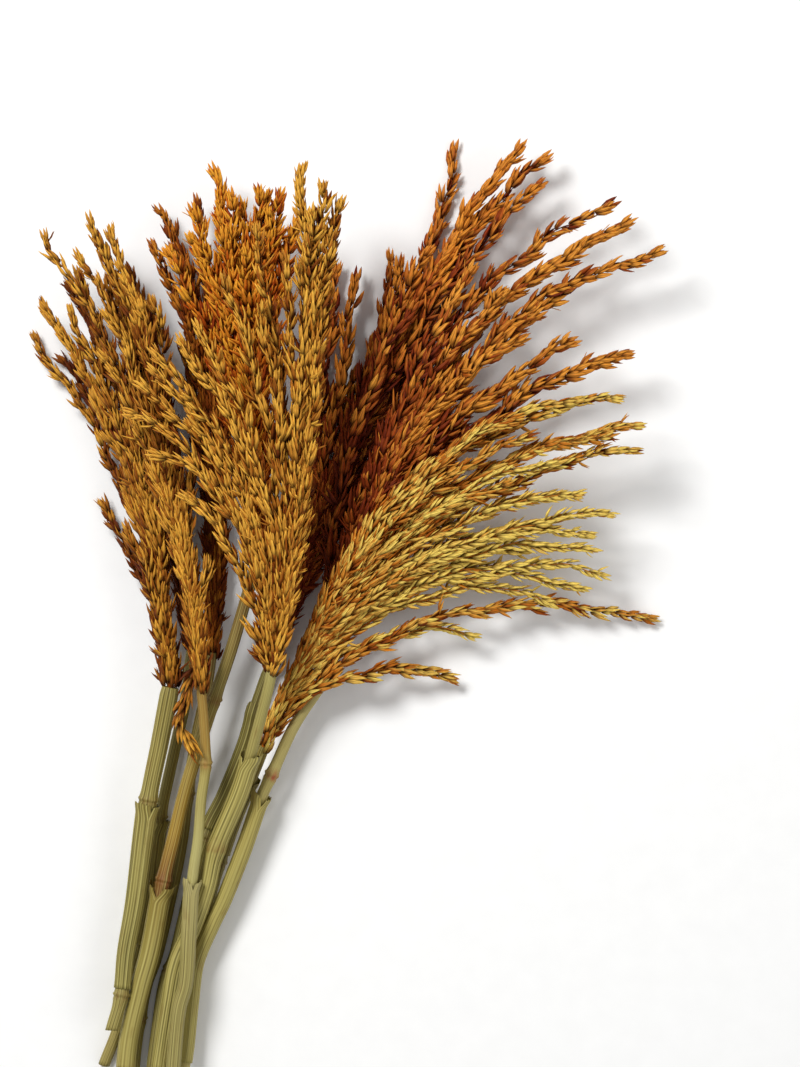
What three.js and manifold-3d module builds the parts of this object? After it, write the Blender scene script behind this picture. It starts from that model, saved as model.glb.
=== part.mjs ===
// A bunch of cut, dried maize stalks with their tassels, lying on a flat surface.
// Millimetres. +Z is up, +Y runs from the cut butts to the tassel tips, and the origin is under the
// middle of the bunch, on the surface it lies on.
import * as THREE from 'three';
import Module from 'manifold-3d';

const wasm = await Module();
wasm.setup();

// ---- Driving dimensions ----
const CLEARANCE = 0.4; // gap kept between neighbouring pieces
const NODE_SWELL = 0.8; // how far a stalk swells at a node
const NODE_LENGTH = 4.5; // half length of that swelling
const SHEATH_WALL = 0.8;
const STALK_SIDES = 10;
const STALK_STEPS = 16;
const SHEATH_STEP = 16; // length of one straight span of a sheath
const BRANCH_SIDES = 5;
const BRANCH_STEPS = 5;
const BRANCH_BASE = 1.9; // branch radius where it leaves the rachis
const BRANCH_BODY = 3.6; // radius of the spikelets around a branch
const BRANCH_TIP = 1.1;
const SPIKE_BASE = 2.6;
const SPIKE_BODY = 4.4; // the central spike is the thickest
const FLOOR_GAP = 0.1;

// ---- Stalks ----
// path: centreline from the cut butt to the neck, where the tassel starts.
// radius: at the butt and at the neck. nodes: Y of each swollen joint.
// sheath: Y where the leaf sheath starts and ends, its thickness over the stalk at the rim, the height
// of its prongs and how many there are.
const STALKS = {
  stalk_1: {
    path: [
      [-151, -269, 25], [-145, -247, 24], [-142, -218, 23], [-136, -184, 23],
      [-128, -124, 25], [-120, -84, 27], [-113, -48, 30],
    ],
    radius: [4.2, 6.2],
    nodes: [-247, -121],
    sheath: { from: -242, to: -124, extra: 0.7, prong: 3, prongs: 2 },
  },
  stalk_2: {
    path: [
      [-157, -293, 4], [-146, -264, 4.5], [-135, -222, 5.2], [-127, -184, 5.4],
      [-121, -136, 6], [-113, -97, 7], [-104, -56, 8], [-100, -24, 9],
    ],
    radius: [3.8, 3.8],
    nodes: [-250, -133],
    sheath: { from: -215, to: -136, extra: 0.6, prong: 5, prongs: 1 },
  },
  stalk_3: {
    path: [
      [-143, -300, 18], [-140, -273, 18], [-133, -242, 18.5], [-126, -216, 19],
      [-118, -174, 21], [-111, -145, 22], [-104, -116, 23], [-95, -86, 24],
      [-85, -56, 26], [-74, -24, 28], [-64, 10, 30], [-57, 33, 31],
    ],
    radius: [5.4, 3.7],
    nodes: [-173, -56],
    sheath: { from: -294, to: -178, extra: 1.2, prong: 8, prongs: 2 },
  },
  stalk_4: {
    path: [
      [-112, -304, 32], [-108, -258, 32], [-103, -237, 32.5], [-101, -206, 33],
      [-99, -173, 34], [-95, -145, 35], [-93, -120, 36], [-90, -97, 38],
      [-91, -70, 42], [-93, -46, 46],
    ],
    radius: [3.9, 3.2],
    nodes: [-97],
    sheath: { from: -294, to: -173, extra: 0.7, prong: 4, prongs: 3 },
  },
  stalk_5: {
    path: [
      [-122, -303, 20], [-119, -282, 20], [-114, -250, 20], [-109, -225, 20], [-99, -203, 21],
      [-90, -177, 23], [-84, -152, 27], [-68, -114, 36], [-58, -80, 46],
      [-50, -50, 56], [-47, -36, 60],
    ],
    radius: [4.5, 3.6],
    nodes: [-152],
    sheath: { from: -296, to: -92, extra: 1.3, prong: 4, prongs: 2 },
  },
  stalk_6: {
    path: [
      [-106, -300, 17], [-103, -280, 17], [-100, -250, 16.6], [-96.5, -225, 16],
      [-86.5, -201, 16], [-78.5, -184, 16.6], [-66, -152, 19], [-55, -120, 22],
      [-47, -102, 22], [-33, -72, 22], [-15, -45, 22],
    ],
    radius: [4.1, 3.8],
    nodes: [-105],
    sheath: { from: -290, to: -119, extra: 0.6, prong: 5, prongs: 2 },
  },
  stalk_7: {
    path: [
      [-139, -303, 4.6], [-136, -275, 4.8], [-130, -242, 5], [-123, -222, 5],
      [-114, -184, 5], [-107, -150, 5], [-102, -112, 5], [-97, -80, 6],
      [-91, -52, 7], [-87, -26, 8],
    ],
    radius: [4.4, 3.6],
    nodes: [-263, -118],
  },
  stalk_8: {
    path: [
      [-127, -306, 4.4], [-123, -275, 4.8], [-118, -242, 5], [-111, -222, 5],
      [-101, -180, 5], [-91, -143, 5.5], [-79, -118, 6], [-66, -86, 7],
      [-59, -62, 8], [-50, -36, 9],
    ],
    radius: [4.2, 3.8],
    nodes: [-232, -146],
    sheath: { from: -140, to: -66, extra: 0.5, prong: 7, prongs: 1 },
  },
  stalk_9: {
    path: [
      [-116, -297, 4.4], [-112, -275, 4.8], [-107, -250, 5], [-99, -225, 5.2],
      [-90, -190, 6], [-81, -158, 8], [-71, -129, 11], [-61, -106, 16],
      [-53, -86, 24],
    ],
    radius: [4.2, 4.0],
    nodes: [-240, -162],
    sheath: { from: -156, to: -108, extra: 0.6, prong: 3, prongs: 2 },
  },
};

// ---- Tassels ----
// Each row is one branch: how far up the rachis it leaves (mm), its tip (x, y, z), how far it bows to
// the right of its chord (mm), and then, only where they aren't the usual ones, where along the chord
// it bends (0 to 1) and how far it rises above the straight line.
// The first row is the central spike. Tassels are listed from the lowest in the pile to the topmost.
const BEND = 0.5;
const RISE = 3;
const TASSELS = {
  tassel_2: [
    [0, -183, 216, 20, 14],
    [0, -190, 168, 6, 16],
    [8, -165, 154, 12, 10],
    [10, -151, 200, 22, 8],
    [20, -141, 228, 24, 8],
    [24, -125, 176, 18, 2],
    [0, -142, 92, 6, 6],
    [30, -131, 206, 26, 5],
    [5, -116, 136, 10, 0],
  ],
  tassel_7: [
    [0, -108, 232, 22, 8],
    [5, -127, 244, 24, 20],
    [10, -124, 265, 18, 22],
    [20, -99, 272, 24, 12],
    [0, -93, 123, 8, 2],
    [15, -79, 150, 10, -4],
    [25, -84, 213, 16, 6],
    [5, -107, 176, 12, 6],
    [30, -68, 200, 18, -2],
    [12, -112, 254, 22, 14],
    [18, -92, 240, 22, 6],
  ],
  tassel_8: [
    [0, 116, 306, 26, -18, 0.6],
    [25, 72, 308, 3, 12],
    [60, 134, 298, 22, -24, 0.6],
    [70, 131, 281, 30, -17, 0.6],
    [15, -6, 229, 8, 4],
    [20, 6, 222, 14, 6],
    [30, 29, 236, 10, 12],
    [90, 38, 231, 24, 2],
    [110, 53, 241, 28, 0],
    [10, 15, 136, 6, -4],
    [40, 47, 181, 10, 0],
    [20, 72, 215, 8, -8],
    [5, 62, 186, 14, -10],
    [30, 34, 158, 16, -4],
    [50, 84, 242, 18, -12],
    [10, 52, 128, 10, -8],
    [44, 99, 262, 22, -18, 0.6],
    [36, 78, 230, 18, -12],
    [24, 22, 180, 14, 2],
    [0, 2, 100, 6, -2],
    [6, -8, 150, 6, 2],
    [14, 34, 118, 10, -6],
    [2, 30, 92, 10, -8],
    [18, 8, 164, 8, 4],
  ],
  tassel_1: [
    [0, -197, 204, 36, 17],
    [0, -207, 182, 5, 20],
    [0, -161, 75, 5, 8],
    [10, -177, 225, 44, 13],
    [24, -163, 247, 42, 11],
    [34, -156, 240, 50, 9],
    [44, -137, 198, 48, 5],
    [14, -151, 112, 34, 9],
    [4, -145, 86, 30, 7],
    [20, -181, 200, 46, 14],
    [12, -171, 178, 40, 12],
    [28, -148, 224, 52, 8],
    [0, -134, 44, 40, 3],
    [4, -127, 78, 44, 2],
    [2, -144, 62, 30, 5],
    [8, -139, 132, 46, 6],
  ],
  tassel_3: [
    [0, -87, 290, 40, 10],
    [0, -116, 239, 38, 10],
    [5, -100, 266, 46, 10],
    [10, -74, 275, 48, 5],
    [14, -66, 270, 40, 3],
    [12, -56, 276, 50, -1],
    [20, -52, 274, 42, -3],
    [5, -42, 276, 38, -6],
    [25, -79, 251, 54, 4],
    [0, -93, 200, 36, 7],
    [20, -64, 239, 56, 0],
    [0, -36, 245, 34, -6],
    [10, -48, 262, 52, -3],
    [15, -76, 254, 50, 5],
    [8, -58, 244, 54, 1],
    [18, -30, 258, 46, -7],
    [4, -100, 246, 44, 10],
    [6, -84, 262, 44, 8],
    [16, -44, 252, 50, -4],
  ],
  tassel_6: [
    [0, 187, 250, 42, -50, 0.62],
    [5, 175, 264, 36, -50, 0.62],
    [10, 207, 233, 48, -49, 0.62],
    [30, 152, 177, 50, -26],
    [14, 187, 166, 46, -38, 0.6],
    [60, 104, 210, 46, -12],
    [70, 86, 228, 38, -10],
    [50, 66, 181, 46, -10],
    [20, 47, 205, 34, -20],
    [30, 110, 150, 44, -26],
    [20, 82, 132, 40, -22],
    [10, 60, 104, 34, -18],
    [40, 128, 196, 48, -22],
    [34, 118, 180, 50, -26],
    [44, 88, 192, 46, -14],
    [16, 72, 158, 40, -17],
    [26, 94, 126, 40, -27],
    [36, 142, 212, 50, -26],
    [6, 34, 84, 30, -12],
    [12, 44, 120, 34, -16],
    [18, 58, 142, 38, -18],
  ],
  tassel_4: [
    [0, -151, 249, 76, 10],
    [0, -197, 246, 58, 22],
    [8, -172, 235, 70, 17],
    [14, -166, 258, 66, 15],
    [12, -131, 202, 78, 2],
    [24, -121, 206, 70, -1],
    [24, -152, 196, 80, 9],
    [5, -157, 171, 74, 12],
    [0, -130, 106, 66, 8],
    [10, -116, 72, 62, 3],
    [10, -99, 98, 62, -3],
    [0, -141, 136, 70, 10],
    [14, -96, -92, 48, 9],
    [16, -143, 226, 74, 8],
    [8, -133, 150, 72, 6],
    [0, -112, 48, 60, 4],
    [2, -104, 76, 62, 1],
    [4, -88, 40, 56, -2],
    [6, -120, 96, 66, 6],
  ],
  tassel_9: [
    [0, 192, 121, 66, -50],
    [26, 75, -44, 6, -13],
    [5, 204, -6, 4, -43, 0.45, 14],
    [20, 89, -14, 20, -22],
    [24, 139, 4, 22, -36, 0.6],
    [34, 172, 24, 34, -36],
    [40, 164, 40, 44, -34],
    [50, 174, 63, 54, -26],
    [56, 155, 79, 60, -24],
    [60, 190, 107, 62, -26],
    [64, 175, 115, 68, -30],
    [60, 178, 138, 70, -40],
    [74, 153, 139, 72, -32],
    [80, 111, 124, 72, -22],
    [44, 86, 96, 66, -20],
    [60, 137, 98, 66, -24],
    [30, 153, 76, 44, -36],
    [38, 137, 58, 46, -28],
    [20, 122, 40, 36, -30],
    [28, 108, 30, 30, -24],
    [34, 98, 50, 46, -22],
    [40, 86, 74, 56, -18],
    [52, 112, 86, 62, -22],
    [66, 124, 114, 70, -24],
    [60, 98, 120, 72, -18],
    [46, 76, 94, 66, -15],
    [50, 162, 52, 50, -28],
    [36, 158, 14, 30, -36],
  ],
  tassel_5: [
    [0, -30, 287, 98, 16],
    [4, -127, 105, 88, 26, 0.68, 8],
    [10, -141, 132, 90, 24, 0.6, 8],
    [14, -135, 148, 92, 22, 0.6, 8],
    [18, -127, 156, 96, 20, 0.58, 6],
    [20, -126, 169, 98, 20, 0.55, 6],
    [26, -109, 177, 102, 18, 0.55, 6],
    [30, -98, 188, 104, 15, 0.55, 6],
    [0, -106, 80, 78, 12, 0.6, 6],
    [0, -64, -6, 62, 3],
    [34, -79, 219, 104, 12],
    [36, -59, 249, 104, 10],
    [40, -54, 200, 108, 6],
    [44, -39, 232, 108, 6],
    [50, -15, 277, 100, 4],
    [50, -3, 267, 92, -2],
    [30, -18, 181, 98, 4],
    [24, -21, 136, 92, 2],
    [30, -30, 160, 100, 4],
    [44, -22, 262, 104, 6],
    [40, -8, 246, 98, -1],
    [36, -28, 226, 106, 6],
  ],
};

// ---- Colours ----
const COLOURS = {
  stalk: '#9d9158',
  sheath: '#aba066',
  tassel_1: '#8f5f28',
  tassel_2: '#7c4a1e',
  tassel_3: '#9f6224',
  tassel_4: '#a37734',
  tassel_5: '#a98038',
  tassel_6: '#9a5c24',
  tassel_7: '#8d5220',
  tassel_8: '#6e2f15',
  tassel_9: '#ad8145',
};

// ---- Shared helpers ----
const UP = new THREE.Vector3(0, 0, 1);

// The two directions across a centreline that runs along `tangent`.
function across(tangent) {
  const side = new THREE.Vector3().crossVectors(tangent, UP).normalize();
  const up = new THREE.Vector3().crossVectors(side, tangent).normalize();
  return { side, up };
}

// A ring of points around a centre, with an optional shift of each point along the tangent.
function ringAround(centre, tangent, radius, sides, shift = () => 0) {
  const { side, up } = across(tangent);
  const ring = [];
  for (let i = 0; i < sides; i++) {
    const angle = (2 * Math.PI * i) / sides;
    ring.push(centre.clone()
      .addScaledVector(side, radius * Math.cos(angle))
      .addScaledVector(up, radius * Math.sin(angle))
      .addScaledVector(tangent, shift(angle)));
  }
  return ring;
}

function geometryFrom(points, triangles) {
  const geometry = new THREE.BufferGeometry().setFromPoints(points);
  geometry.setIndex(triangles);
  geometry.computeVertexNormals();
  return geometry;
}

// Joins neighbouring rings with quads. `wrap` also joins the last ring to the first one.
function wallTriangles(ringCount, sides, wrap) {
  const triangles = [];
  const spans = wrap ? ringCount : ringCount - 1;
  for (let r = 0; r < spans; r++) {
    for (let i = 0; i < sides; i++) {
      const a = r * sides + i;
      const b = r * sides + ((i + 1) % sides);
      const c = ((r + 1) % ringCount) * sides + i;
      const d = ((r + 1) % ringCount) * sides + ((i + 1) % sides);
      triangles.push(a, c, b, b, c, d);
    }
  }
  return triangles;
}

// A closed rod: rings of points with a fan of triangles over each end.
function rod(rings) {
  const sides = rings[0].length;
  const points = rings.flat();
  const triangles = wallTriangles(rings.length, sides, false);
  const middle = (ring) => ring
    .reduce((sum, p) => sum.add(p), new THREE.Vector3())
    .divideScalar(ring.length);
  const start = points.push(middle(rings[0])) - 1;
  const end = points.push(middle(rings[rings.length - 1])) - 1;
  const last = (rings.length - 1) * sides;
  for (let i = 0; i < sides; i++) {
    const next = (i + 1) % sides;
    triangles.push(start, i, next);
    triangles.push(end, last + next, last + i);
  }
  return geometryFrom(points, triangles);
}

function solidFrom(geometry) {
  const vertProperties = new Float32Array(geometry.attributes.position.array);
  const triVerts = new Uint32Array(geometry.index.array);
  return new wasm.Manifold(new wasm.Mesh({ numProp: 3, vertProperties, triVerts }));
}

function geometryOf(solid) {
  const mesh = solid.getMesh();
  const geometry = new THREE.BufferGeometry();
  geometry.setAttribute('position', new THREE.BufferAttribute(mesh.vertProperties, 3));
  geometry.setIndex(new THREE.BufferAttribute(mesh.triVerts, 1));
  geometry.computeVertexNormals();
  return geometry;
}

function smooth(t) {
  const x = THREE.MathUtils.clamp(t, 0, 1);
  return x * x * (3 - 2 * x);
}

// ---- Stalks and sheaths ----
function centreline(stalk) {
  const points = stalk.path.map((p) => new THREE.Vector3(...p));
  return new THREE.CatmullRomCurve3(points, false, 'catmullrom', 0.5);
}

// The curve parameter at which a stalk reaches the height y.
function parameterAt(curve, y) {
  let low = 0;
  let high = 1;
  for (let i = 0; i < 30; i++) {
    const middle = (low + high) / 2;
    if (curve.getPoint(middle).y < y) low = middle;
    else high = middle;
  }
  return (low + high) / 2;
}

function stalkRadius(stalk, y) {
  const [butt, neck] = stalk.radius;
  const first = stalk.path[0][1];
  const last = stalk.path[stalk.path.length - 1][1];
  const along = THREE.MathUtils.clamp((y - first) / (last - first), 0, 1);
  let radius = THREE.MathUtils.lerp(butt, neck, along);
  for (const node of stalk.nodes) {
    radius += NODE_SWELL * Math.exp(-(((y - node) / NODE_LENGTH) ** 2));
  }
  return radius;
}

function stalkGeometry(stalk) {
  const curve = centreline(stalk);
  const steps = Array.from({ length: STALK_STEPS + 1 }, (_, i) => i / STALK_STEPS);
  for (const node of stalk.nodes) {
    const at = parameterAt(curve, node);
    steps.push(at - 0.022, at, at + 0.022);
  }
  steps.sort((a, b) => a - b);
  const spaced = steps.filter((t, i) => i === 0 || t - steps[i - 1] > 0.008);
  return rod(spaced.map((t) => {
    const centre = curve.getPoint(t);
    return ringAround(centre, curve.getTangent(t), stalkRadius(stalk, centre.y), STALK_SIDES);
  }));
}

// An open sleeve around the stalk, a little thicker at its rim, with prongs where it tore.
function sheathGeometry(stalk) {
  const { from, to, extra, prong, prongs } = stalk.sheath;
  const curve = centreline(stalk);
  const start = parameterAt(curve, from);
  const end = parameterAt(curve, to);
  const spans = Math.max(4, Math.round((to - from) / SHEATH_STEP));
  const torn = (angle) => prong * (0.5 + 0.5 * Math.cos(prongs * angle));
  const inner = [];
  const outer = [];
  for (let i = 0; i <= spans; i++) {
    const t = THREE.MathUtils.lerp(start, end, i / spans);
    const centre = curve.getPoint(t);
    const tangent = curve.getTangent(t);
    const shift = i === spans ? torn : undefined;
    const bore = stalkRadius(stalk, centre.y) + CLEARANCE;
    const flare = extra * smooth(i / spans);
    const edge = i === 0 || i === spans ? 0.5 : 1;
    inner.push(ringAround(centre, tangent, bore + flare, STALK_SIDES, shift));
    outer.push(ringAround(centre, tangent, bore + flare + SHEATH_WALL * edge, STALK_SIDES, shift));
  }
  const rings = [...outer, ...inner.reverse()];
  return geometryFrom(rings.flat(), wallTriangles(rings.length, STALK_SIDES, true));
}

// ---- Tassels ----
function bezier(a, b, c, t) {
  const p = new THREE.Vector3();
  p.addScaledVector(a, (1 - t) * (1 - t));
  p.addScaledVector(b, 2 * t * (1 - t));
  p.addScaledVector(c, t * t);
  return p;
}

function branchRadius(t, isSpike) {
  const base = isSpike ? SPIKE_BASE : BRANCH_BASE;
  const body = isSpike ? SPIKE_BODY : BRANCH_BODY;
  const swell = THREE.MathUtils.lerp(base, body, smooth(t / 0.3));
  return THREE.MathUtils.lerp(swell, BRANCH_TIP, smooth((t - 0.7) / 0.3));
}

// The three control points of a branch that starts at `start`.
function controlPoints(start, row) {
  const [, x, y, z, bow, bend = BEND, rise = RISE] = row;
  const tip = new THREE.Vector3(x, y, z);
  const chord = new THREE.Vector3(x - start.x, y - start.y, 0);
  const right = new THREE.Vector3(chord.y, -chord.x, 0).normalize();
  const middle = new THREE.Vector3().lerpVectors(start, tip, bend);
  middle.addScaledVector(right, 2 * bow);
  middle.z += 2 * rise;
  return [start, middle, tip];
}

// A point of a branch as it is built, straight from ring to ring.
function branchPoint(branch, t) {
  const ring = Math.min(Math.floor(t * BRANCH_STEPS), BRANCH_STEPS - 1);
  const from = bezier(...branch.control, ring / BRANCH_STEPS);
  const to = bezier(...branch.control, (ring + 1) / BRANCH_STEPS);
  return from.lerp(to, t * BRANCH_STEPS - ring);
}

const LAY_STEPS = 20;

function samples(branch) {
  const points = [];
  for (let i = 0; i <= LAY_STEPS; i++) {
    const t = i / LAY_STEPS;
    points.push({ t, at: branchPoint(branch, t), radius: branchRadius(t, branch.isSpike) });
  }
  return points;
}

function stalkSamples(stalk) {
  const curve = centreline(stalk);
  const count = 60;
  return Array.from({ length: count + 1 }, (_, i) => {
    const at = curve.getPoint(i / count);
    return { at, radius: stalkRadius(stalk, at.y) + SHEATH_WALL };
  });
}

// Lifts a branch, all but its start, until it lies over everything that is already there.
function layOver(branch, placed) {
  const [, middle, tip] = branch.control;
  for (let round = 0; round < 12; round++) {
    let worst = 0;
    let where = 0;
    for (const { t, at, radius } of samples(branch).slice(1)) {
      let needed = radius + FLOOR_GAP - at.z;
      for (const other of placed) {
        const reach = radius + other.radius + CLEARANCE;
        const away = Math.hypot(at.x - other.at.x, at.y - other.at.y);
        if (away < reach) {
          needed = Math.max(needed, other.at.z + Math.sqrt(reach ** 2 - away ** 2) - at.z);
        }
      }
      if (needed > worst) {
        worst = needed;
        where = t;
      }
    }
    if (worst < 0.01) return;
    const middleShare = 2 * where * (1 - where);
    const tipShare = where * where;
    const lift = worst / (middleShare ** 2 + tipShare ** 2);
    middle.z += lift * middleShare;
    tip.z += lift * tipShare;
  }
}

function growTassel(name, placed) {
  const stalk = STALKS[name.replace('tassel', 'stalk')];
  const neck = centreline(stalk);
  const along = neck.getTangent(1);
  const base = neck.getPoint(1).addScaledVector(along, CLEARANCE);
  const branches = [];
  TASSELS[name].forEach((row, i) => {
    const rachis = i > 0 ? branches[0] : null;
    const start = rachis ? branchPoint(rachis, row[0] / rachis.length) : base;
    const branch = { control: controlPoints(start, row), isSpike: i === 0 };
    if (row[0] === 0) branch.along = along;
    layOver(branch, placed);
    branch.length = start.distanceTo(branch.control[2]);
    branches.push(branch);
  });
  return branches;
}

function branchGeometry(branch) {
  const rings = [];
  for (let i = 0; i <= BRANCH_STEPS; i++) {
    const t = i / BRANCH_STEPS;
    const centre = bezier(...branch.control, t);
    const ahead = bezier(...branch.control, Math.min(t + 0.01, 1));
    const behind = bezier(...branch.control, Math.max(t - 0.01, 0));
    const tangent = i === 0 && branch.along ? branch.along : ahead.sub(behind).normalize();
    rings.push(ringAround(centre, tangent, branchRadius(t, branch.isSpike), BRANCH_SIDES));
  }
  return rod(rings);
}

// Branches that cross can close off a pocket between them, so only the outer skin is kept.
function tasselGeometry(branches) {
  const solids = branches.map((branch) => solidFrom(branchGeometry(branch)));
  const whole = solids.reduce((sum, solid) => sum.add(solid));
  const skins = whole.decompose().sort((a, b) => b.volume() - a.volume());
  return geometryOf(skins[0]);
}

// ---- The bunch ----
const bunch = new THREE.Group();
bunch.name = 'dried_maize_bunch';

function addPiece(name, geometry, colour) {
  const material = new THREE.MeshStandardMaterial({ color: colour, roughness: 0.85, metalness: 0 });
  const mesh = new THREE.Mesh(geometry, material);
  mesh.name = name;
  bunch.add(mesh);
}

for (const [name, stalk] of Object.entries(STALKS)) {
  addPiece(name, stalkGeometry(stalk), COLOURS.stalk);
  if (stalk.sheath) {
    addPiece(name.replace('stalk', 'sheath'), sheathGeometry(stalk), COLOURS.sheath);
  }
}

const placed = [];
for (const name of Object.keys(TASSELS)) {
  const branches = growTassel(name, placed);
  addPiece(name, tasselGeometry(branches), COLOURS[name]);
  placed.push(...branches.flatMap(samples));
  placed.push(...stalkSamples(STALKS[name.replace('tassel', 'stalk')]));
}

export default bunch;
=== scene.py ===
# A bunch of dried maize stalks with their tassels, lying on a pale floor and seen from straight above.
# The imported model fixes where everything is. This script grows the spikelets, ribs and torn sheaths on it.
import math

import bpy
import numpy as np
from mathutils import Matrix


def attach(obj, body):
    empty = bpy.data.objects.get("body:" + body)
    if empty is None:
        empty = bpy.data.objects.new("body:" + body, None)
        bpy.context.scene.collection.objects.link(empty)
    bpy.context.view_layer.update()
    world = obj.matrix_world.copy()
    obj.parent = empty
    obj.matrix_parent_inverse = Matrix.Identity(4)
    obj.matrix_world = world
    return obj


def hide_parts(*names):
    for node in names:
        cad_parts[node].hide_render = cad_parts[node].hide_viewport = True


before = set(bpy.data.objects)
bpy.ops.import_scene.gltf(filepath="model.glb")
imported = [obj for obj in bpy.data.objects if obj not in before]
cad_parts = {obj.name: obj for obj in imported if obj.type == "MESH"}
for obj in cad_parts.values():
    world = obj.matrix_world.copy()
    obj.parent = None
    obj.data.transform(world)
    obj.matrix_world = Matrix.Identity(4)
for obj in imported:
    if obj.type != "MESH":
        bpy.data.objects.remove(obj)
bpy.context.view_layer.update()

MM = 0.001
UP = np.array([0.0, 0.0, 1.0])
UV_NAME = "OFBake"

# ---- Driving dimensions, in millimetres, the same as in the CAD part ----
CLEARANCE = 0.4
NODE_SWELL = 0.8
NODE_LENGTH = 4.5
SHEATH_WALL = 0.8
BRANCH_STEPS = 5
BRANCH_BASE = 1.9
BRANCH_BODY = 3.6
BRANCH_TIP = 1.1
SPIKE_BASE = 2.6
SPIKE_BODY = 4.4
FLOOR_GAP = 0.1
STALK_SAMPLES = 60
LAY_STEPS = 20
LAY_ROUNDS = 12
LAY_ERROR = 0.01

# path: centreline from the cut butt to the neck. radius: at the butt and at the neck.
# nodes: Y of each swollen joint. sheath: Y of its start and end, and its flare over the stalk.
STALKS = {
    "stalk_1": {
        "path": [
            (-151, -269, 25), (-145, -247, 24), (-142, -218, 23), (-136, -184, 23),
            (-128, -124, 25), (-120, -84, 27), (-113, -48, 30),
        ],
        "radius": (4.2, 6.2), "nodes": (-247, -121), "sheath": (-242, -124, 0.7),
    },
    "stalk_2": {
        "path": [
            (-157, -293, 4), (-146, -264, 4.5), (-135, -222, 5.2), (-127, -184, 5.4),
            (-121, -136, 6), (-113, -97, 7), (-104, -56, 8), (-100, -24, 9),
        ],
        "radius": (3.8, 3.8), "nodes": (-250, -133), "sheath": (-215, -136, 0.6),
    },
    "stalk_3": {
        "path": [
            (-143, -300, 18), (-140, -273, 18), (-133, -242, 18.5), (-126, -216, 19),
            (-118, -174, 21), (-111, -145, 22), (-104, -116, 23), (-95, -86, 24),
            (-85, -56, 26), (-74, -24, 28), (-64, 10, 30), (-57, 33, 31),
        ],
        "radius": (5.4, 3.7), "nodes": (-173, -56), "sheath": (-294, -178, 1.2),
    },
    "stalk_4": {
        "path": [
            (-112, -304, 32), (-108, -258, 32), (-103, -237, 32.5), (-101, -206, 33),
            (-99, -173, 34), (-95, -145, 35), (-93, -120, 36), (-90, -97, 38),
            (-91, -70, 42), (-93, -46, 46),
        ],
        "radius": (3.9, 3.2), "nodes": (-97,), "sheath": (-294, -173, 0.7),
    },
    "stalk_5": {
        "path": [
            (-122, -303, 20), (-119, -282, 20), (-114, -250, 20), (-109, -225, 20), (-99, -203, 21),
            (-90, -177, 23), (-84, -152, 27), (-68, -114, 36), (-58, -80, 46),
            (-50, -50, 56), (-47, -36, 60),
        ],
        "radius": (4.5, 3.6), "nodes": (-152,), "sheath": (-296, -92, 1.3),
    },
    "stalk_6": {
        "path": [
            (-106, -300, 17), (-103, -280, 17), (-100, -250, 16.6), (-96.5, -225, 16),
            (-86.5, -201, 16), (-78.5, -184, 16.6), (-66, -152, 19), (-55, -120, 22),
            (-47, -102, 22), (-33, -72, 22), (-15, -45, 22),
        ],
        "radius": (4.1, 3.8), "nodes": (-105,), "sheath": (-290, -119, 0.6),
    },
    "stalk_7": {
        "path": [
            (-139, -303, 4.6), (-136, -275, 4.8), (-130, -242, 5), (-123, -222, 5),
            (-114, -184, 5), (-107, -150, 5), (-102, -112, 5), (-97, -80, 6),
            (-91, -52, 7), (-87, -26, 8),
        ],
        "radius": (4.4, 3.6), "nodes": (-263, -118),
    },
    "stalk_8": {
        "path": [
            (-127, -306, 4.4), (-123, -275, 4.8), (-118, -242, 5), (-111, -222, 5),
            (-101, -180, 5), (-91, -143, 5.5), (-79, -118, 6), (-66, -86, 7),
            (-59, -62, 8), (-50, -36, 9),
        ],
        "radius": (4.2, 3.8), "nodes": (-232, -146), "sheath": (-140, -66, 0.5),
    },
    "stalk_9": {
        "path": [
            (-116, -297, 4.4), (-112, -275, 4.8), (-107, -250, 5), (-99, -225, 5.2),
            (-90, -190, 6), (-81, -158, 8), (-71, -129, 11), (-61, -106, 16),
            (-53, -86, 24),
        ],
        "radius": (4.2, 4.0), "nodes": (-240, -162), "sheath": (-156, -108, 0.6),
    },
}

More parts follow.
